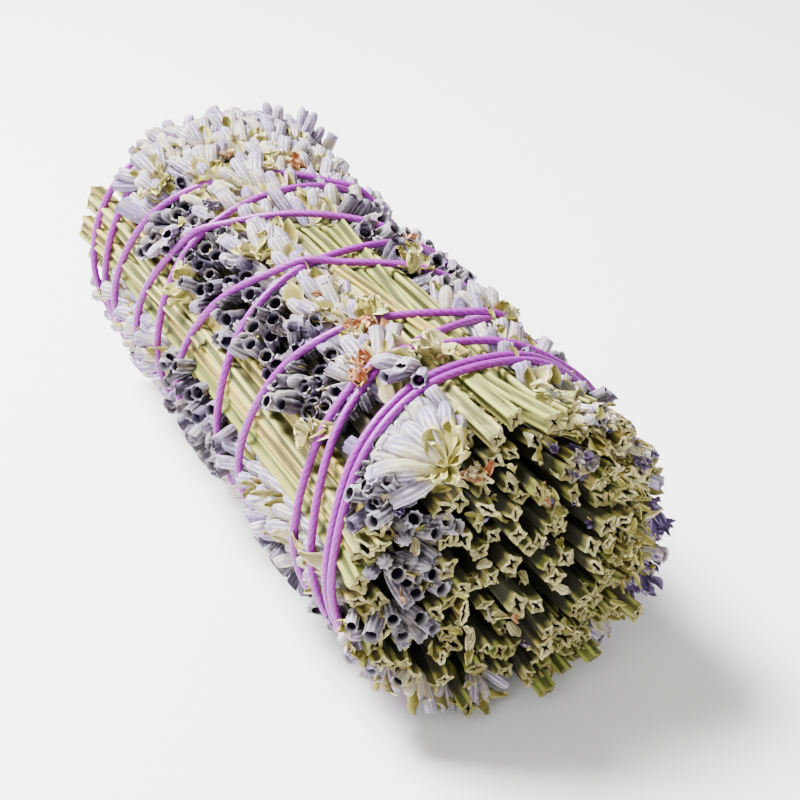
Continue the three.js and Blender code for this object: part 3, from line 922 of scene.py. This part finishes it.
def near_whorl(piece):
    """The large whorl on the rim of the near end, with papery bracts at its foot, and two smaller ones."""
    out = radial(120)
    foot = on_bunch(17.4, 120, -48.9)
    axis = unit(aim(120, 1, 6, 16))
    fan(piece, foot + 0.6 * out, axis, out, 9, 56, 7, 0.96, 0.3, (0.35, 0.8), 34)
    fan(piece, foot + 0.4 * axis - 0.6 * out, axis, out, 7, 74, 6, 0.92, 0.3, (0.2, 0.7), 12)
    for swing, tilt, size, wide in WHORL_BRACTS:
        go = aim(120, 1, tilt, swing)
        start = foot + draw(-0.4, 0.5) * out - 0.5 * axis
        tone, curl = draw(0, 0.9), draw(-0.3, 0.2)
        leaf(bracts, start, go, out, size, wide, tone, 0.75, curl, 0.17, 0.85)
    fan(piece, on_bunch(17.2, 107.5, -42.5), aim(107, 1, 12, 24), radial(107), 5, 30, 4.6, 0.8, 0.3)
    foot, axis = on_bunch(17.2, 131.5, -42), aim(131, 1, 12, -14)
    fan(piece, foot, axis, radial(131), 5, 34, 4.8, 0.85, 0.5, (0, 0.6))


RIM_WHORLS = [  # angle, y, tilt, swing
    (136, -41.5, 30, -10), (141, -44.5, 34, 10), (145, -40, 26, 6), (138, -46, 42, -16),
]
TUFT_WHORLS = [  # x, height over the middle line, lean to the side and up, calyces
    (-12.8, 9.2, -0.1, 0.35, 6), (-10.8, 5.6, 0.15, 0.1, 5), (-13.2, 2.6, -0.1, 0, 5),
    (-10.2, -0.2, 0.1, -0.2, 6), (-12.6, -3.4, -0.15, -0.4, 5),
]


def rim_cluster(piece):
    """Open calyces at the left of the near rim, and the head caught between the stems."""
    for deg, y, tilt, swing in RIM_WHORLS:
        foot, axis = on_bunch(16.4, deg, y), aim(deg, -1, tilt, swing)
        fan(piece, foot, axis, radial(deg), 5, 46, 4.7, 0.88, 0.85, (0, 0.8), 40)
    for x, z, lean_x, lean_z, count in TUFT_WHORLS:
        foot = vec(x, -44 + draw(-0.8, 0.8), AXIS_Z + z)
        axis = vec(lean_x, -1, lean_z)
        fan(piece, foot, axis, vec(0, 0.1, 1), count, 34, 5.4, 0.86, 0.6, (0.3, 1), 30)
        fan(piece, foot + vec(0, 0.4, -0.5), axis, SIDEWAYS, 3, 30, 4.8, 0.84, 0.6, (0.4, 1), 26)
        frill(foot + 2.2 * axis, axis, vec(0.2, 0, 1), 4, 2.8)


LOW_WHORLS = [  # angle, y, how far out the foot is, swing
    (198, -42.5, 16.9, 10), (209, -44, 16.4, -16), (221, -43, 16.8, 24), (233, -44.8, 16.4, -10),
    (247, -43.4, 16.5, -26), (262, -44.6, 16.2, 12),
]


def low_rim(piece):
    """Heads that look out under the string at the lower left of the near end."""
    for deg, y, r, swing in LOW_WHORLS:
        axis = aim(deg, -1, draw(2, 26), swing)
        foot = on_bunch(r, deg, y)
        fan(piece, foot, axis, radial(deg), rng.integers(3, 5), 44, 4.3, 0.8, 0.5, (0.3, 1), 34)
        frill(foot + radial(deg) - vec(0, 1.5, 0), axis, radial(deg), 7, 3.2)


PROUD = [  # angle, y, way the tips point, swing, how far out the foot is, calyces
    (113, -17.5, 1, 10, 18.4, 5), (116, -30, 1, -12, 18.5, 5), (104, -33.5, -1, 60, 18.6, 4),
    (119, 4.5, 1, 0, 18.2, 5), (57, -22, 1, 16, 18.4, 5), (136, 24, -1, 20, 18.3, 4),
    (62, 30, 1, -14, 18.4, 6), (101, 23, 1, 16, 18.3, 6), (112, 31, 1, -8, 18.4, 7),
    (94, 34, 1, 10, 18.6, 7), (80, 29.5, 1, -10, 18.4, 6), (74, 38, 1, 6, 18.5, 7),
    (104, 40, 1, 4, 18.7, 7), (89, 41.5, 1, -6, 18.7, 7), (60, 40, 1, 10, 18.5, 6),
    (119, 40, 1, -12, 18.5, 6), (128, 38.5, 1, 10, 18.3, 6), (46, 33, 1, 0, 18.3, 5),
    (30, 24, 1, 10, 18.3, 5), (14, -20, -1, 10, 18.3, 5), (20, 40, 1, 10, 18.3, 5),
    (-8, 22, 1, 10, 18.3, 5),
]
OFF_THE_RIM = [  # angle, y, length of the calyces, calyces
    (50, 47.1, 5.2, 5), (36, 46.6, 4.6, 4), (63, 47.6, 4.2, 3), (42, 48.2, 4, 3),
]


def proud_heads():
    """Whorls that were not caught under the string and stand over it, or off the rim of the far end."""
    piece = Piece()
    for deg, y, way, swing, r, count in PROUD:
        axis = aim(deg, way, draw(3, 12), swing)
        foot = on_bunch(r, deg, y)
        fan(piece, foot, axis, radial(deg), count, 44, 5.4, 0.86, 0.35, (0.2, 1), 24)
        frill(foot + 0.2 * radial(deg), axis, radial(deg), 5, 3.2)
    piece.shape(keep_in)
    for deg, y, length, count in OFF_THE_RIM:
        axis = 0.86 * radial(deg) + vec(0, 0.42, 0)
        fan(piece, on_bunch(19, deg, y), axis, around(deg), count, 34, length, 0.86, 0.3)
        frill(on_bunch(18.8, deg, y), radial(deg), around(deg), 3, 2.6)
    piece.make("proud_whorls", "pale", "calyx_pale")


def head(name, colour, fill, *place):
    """Makes a head, pressed in under the string, in place of its CAD node."""
    piece = Piece()
    fill(piece, *place)
    piece.shape(press)
    piece.make(f"{name}_fine", colour, f"calyx_{colour}", [name])


head("head_near_rim_left_1", "dark", rim_cluster)
head("head_near_rim_top_1", "pale", near_whorl)
FILL = {"pale": pale_head, "dark": dark_head}
for column, a0, a1, rows in COLUMNS:
    for i, (y0, y1, way, colour) in enumerate(rows, 1):
        head(f"head_{column}_{i}", colour, FILL[colour], a0, a1, y0, y1, way)


# ---- bits caught in the heads

PETAL_SPOTS = [  # angle, y, how far out
    (133, 19.8, 18.8), (52, -46.5, 18), (3, -46, 18.2), (-21, -45.6, 17.9), (60, 26, 19),
    (20, 6, 19), (139, -45.5, 17.5), (128, -12, 18.8), (27, -46.5, 17.4), (118, 22, 19),
]
WITHERED_SPOTS = [  # angle, y, how far out, length
    (5, -46.4, 18, 3.8), (1, -45.6, 18.5, 3.2), (-19, -46.2, 18, 4), (-23, -45.4, 18.3, 3.4),
    (-15, -45.8, 18.5, 3), (31, -46.2, 17.8, 2.8),
]
BROWN_SPOTS = [  # angle, y, size
    (108, -24.4, 2.7), (111, -23, 2.3), (113, -24.8, 2), (121, -31.6, 2.4), (118, -30.2, 2.2),
    (78, 27, 2.2), (100, 33, 1.8), (112, -13, 1.5), (60, 0, 1.8), (70, 42, 2.2),
]
BRACT_SPOTS = [  # angle, y
    (113, -14), (115, -25.7), (101, 36.2), (118, 4), (70, -8), (96, -33), (58, -24), (84, 36),
    (66, 44), (124, 44), (146, -31), (145, 12), (110, 28), (92, 27), (75, 33), (106, -20.5),
    (130, 36),
]


def bits():
    """Dried corollas, violet and orange-brown, and bunches of papery bracts."""
    for deg, y, r in PETAL_SPOTS:
        for _ in range(4):
            at = on_bunch(r + draw(-0.6, 0.7), deg + draw(-4, 4), y + draw(-1.2, 1.2))
            flower(petals, at, radial(deg) + vec(0, -0.6, 0), draw(0.9, 1.5), draw())
    for deg, y, r, length in WITHERED_SPOTS:
        go = aim(deg, -1, draw(2, 26), draw(-45, -5))
        withered(petals, on_bunch(r, deg, y), go, length, draw(0, 0.6))
    for x, z in ((7.9, 11.6), (7.5, 9.8)):
        withered(petals, vec(x, -45.4, AXIS_Z + z), vec(0.1, -1, -0.15), 3.4, 0.3)
    for x, z in ((7.8, 11.1), (7.2, 9.4), (-15, 9.5), (-13.6, 10.6), (9, 10.2)):
        flower(petals, vec(x, -47.5, AXIS_Z + z), vec(0.2, -1, 0.4), 1.4, draw())
    for deg, y, size in BROWN_SPOTS:
        flower(browns, on_bunch(19.2, deg, y), radial(deg), size, draw())
    for x, z in ((0, 0), (0.9, -0.3), (-0.6, 0.5)):
        at = vec(-4.7 + x, -47.6, AXIS_Z + 12.6 + z)
        flower(browns, at, vec(0, -1, 0.3), 1.5, draw())
    for deg, y in BRACT_SPOTS:
        for _ in range(10):
            go = aim(deg, rng.choice([-1, 1]), draw(20, 65), draw(-90, 90))
            at = on_bunch(18.3, deg + draw(-3, 3), y + draw(-1.4, 1.4))
            size, tone, curl = draw(1.9, 3.6), draw(), draw(-0.2, 0.3)
            leaf(bracts, at, go, radial(deg), size, size * 0.36, tone, 0.6, curl, 0.15, 0.8)


def small_ends(piece):
    """Thin side stems, cut short, crowd the right and upper part of the near rim."""
    for _ in range(170):
        deg = draw(-68, 66)
        r = 19.3 - 6.4 * draw() ** 1.4
        x, z = r * cos(radians(deg)), r * sin(radians(deg))
        tip = -(49.3 - 1.6 * (r / 18) ** 2 - 4 * draw())
        lean_x = x / r * draw(0.05, 0.34) + rng.normal(0, 0.1)
        lean_z = z / r * draw(0.05, 0.3) + rng.normal(0, 0.1)

        def where(y):
            back = y - tip
            return np.stack([x - lean_x * back, y, AXIS_Z + z - lean_z * back], -1)

        stem(piece, where, tip, tip + 7, draw(0.4, 0.66), draw(0, 1.57), far_end=False, step=3)


def chaff():
    """Crumbs of bract and petal between the cut ends, most of them on the right."""
    for _ in range(150):
        x, z = draw(-15, 17), draw(-15.5, 16)
        if hypot(x, z) > 17.2 or draw() > 0.25 + 0.05 * (x + 15):
            continue
        at = vec(x, -47.6 + 1.8 * draw(), AXIS_Z + z)
        go = vec(rng.normal(0, 0.6), -1, rng.normal(0, 0.6))
        size = draw(1.2, 2.4)
        piece = bracts if draw() < 0.8 else (browns if draw() < 0.25 else petals)
        normal, wide, tone = rng.normal(0, 1, 3), size * draw(0.2, 0.34), draw()
        leaf(piece, at, go, normal, size, wide, tone, 0.7, draw(-0.3, 0.3), 0.2, 0.5)


FAR_WHORLS = [  # angle, y, how far out the foot is, where the whorl points
    (62, 46.5, 18, (0.15, 0.75, 0.75)), (70, 45, 18.2, (-0.2, 0.9, 0.5)), (50, 45.5, 18, (0.5, 0.8, 0.4)),
    (84, 46, 17.6, (0, 1, 0.35)), (112, 45.5, 17.4, (-0.2, 1, 0.3)),
]


def near_rim():
    """What crowds the rim of the near end: thin stems, small calyces and bracts."""
    ends, low = Piece(), Piece()
    small_ends(ends)
    ends.shape(keep_in)
    ends.make("thin_stem_ends", "stem", "stem_straw")
    low_rim(low)
    for _ in range(30):
        deg = draw(-50, 66)
        go = unit(aim(deg, -1, draw(0, 24), draw(-20, 20)))
        base = on_bunch(draw(16.8, 18.2), deg, draw(-45.5, -42))
        length, width, tone = draw(2.6, 4.2), draw(0.55, 0.85), draw(0.6, 1)
        calyx(low, base, go, length, width, radial(deg), tone, draw() < 0.6)
    for _ in range(170):
        deg = draw(-74, 80)
        r = draw(15.5, 19.2)
        at = on_bunch(r, deg, -draw(44.5, 49) + 2 * (r / 19) ** 2)
        go = aim(deg, -1, draw(0, 60), draw(-60, 60))
        leaf(bracts, at, go, radial(deg), draw(1.2, 2.6), draw(0.3, 0.6), draw(), 0.6, 0.2)
    low.shape(press)
    low.make("near_rim_calyces", "pale", "calyx_pale")


def far_rim():
    """Whorls that open round the rim of the far end."""
    piece = Piece()
    for deg, y, r, axis in FAR_WHORLS:
        fan(piece, on_bunch(r, deg, y), axis, radial(deg), 6, 48, 5, 0.86)
    for deg in (8, 28, -14, -36, 130, 196, 214, 236, -58, -80):
        axis = aim(deg, 1, draw(6, 16), 0)
        fan(piece, on_bunch(16.8, deg, 43.5), axis, radial(deg), 6, 50, 5, 0.86)
        frill(on_bunch(17.6, deg, 43), aim(deg, 1, 10, 0), radial(deg), 3, 3.2)
    piece.shape(press)
    piece.make("far_rim_calyces", "pale", "calyx_pale")


STRAY = [  # angle, how far out and how far forward the tip is, lean
    (-76, 18, -49.9, 0.2), (-66, 17.9, -48.6, 0.16), (-55, 18.7, -49, 0.28), (-33, 18.6, -49.6, 0.22),
    (-108, 17.9, -49.5, 0.2),
]


def stray_ends():
    """A few of the outermost stems lean away from the rest at the near end."""
    piece = Piece()
    for deg, r, tip, lean in STRAY:

        def where(y):
            return on_bunch(r - lean * (y - tip), np.full_like(y, deg), y)

        stem(piece, where, tip, tip + 6.5, draw(0.72, 0.9), draw(0, 1.57), far_end=False, lit=4.6)
    piece.make("stray_stem_ends", "stem", "stem_straw")


near_rim()
far_rim()
proud_heads()
bits()
chaff()
stray_ends()
# Bracts stand proud of the string here and there, so they are only kept in.
for piece, name, look, slot in (
    (bracts, "papery_bracts", "bract", "stem_straw"),
    (petals, "violet_petals", "petal", "calyx_dark"),
    (browns, "dried_petals", "brown", "stem_straw"),
):
    piece.shape(keep_in)
    piece.make(name, look, slot)


# ---- stage


def facing(obj, position, target):
    """Puts a light or the camera at its position, looking at the target."""
    obj.location = position
    obj.rotation_euler = (target - position).to_track_quat("-Z", "Y").to_euler()
    bpy.context.collection.objects.link(obj)


def light(name, position, size, power):
    data = bpy.data.lights.new(name, "AREA")
    data.size = size
    data.energy = power
    facing(bpy.data.objects.new(name, data), Vector(position), Vector((0, 0, 0.02)))


def stage():
    """A pale floor, white surroundings and two soft lights."""
    bpy.ops.mesh.primitive_plane_add(size=6, location=(0, 0, 0))
    floor = bpy.context.object
    floor.name = "floor"
    m, t = material("pale_floor")
    bsdf = node(t, "ShaderNodeBsdfPrincipled", {"Base Color": (0.86, 0.86, 0.86), "Roughness": 0.8})
    node(t, "ShaderNodeOutputMaterial", {"Surface": bsdf.outputs[0]})
    floor.data.materials.append(m)
    world = bpy.data.worlds.new("soft_white")
    world.use_nodes = True
    background = world.node_tree.nodes["Background"]
    background.inputs["Color"].default_value = (1, 1, 1, 1)
    background.inputs["Strength"].default_value = 0.77
    bpy.context.scene.world = world
    light("key", (-0.22, 0.2, 0.52), 0.22, 24)
    light("fill", (-0.45, -0.45, 0.4), 0.5, 3)


def camera():
    """The photo's view, aimed at a place on the bunch and then a little to the right and up."""
    position = Vector((-0.0724, -0.1791, 0.1235))
    target = Vector((0.00143, -0.00403, 0.017))
    look = (target - position).normalized()
    right = look.cross(Vector((0, 0, 1))).normalized()
    target = target + right * 0.0047 + right.cross(look) * 0.001
    data = bpy.data.cameras.new("camera")
    data.sensor_width = 36
    data.lens = 74.8
    data.clip_start = 0.01
    obj = bpy.data.objects.new("camera", data)
    facing(obj, position, target)
    bpy.context.scene.camera = obj


stage()
camera()
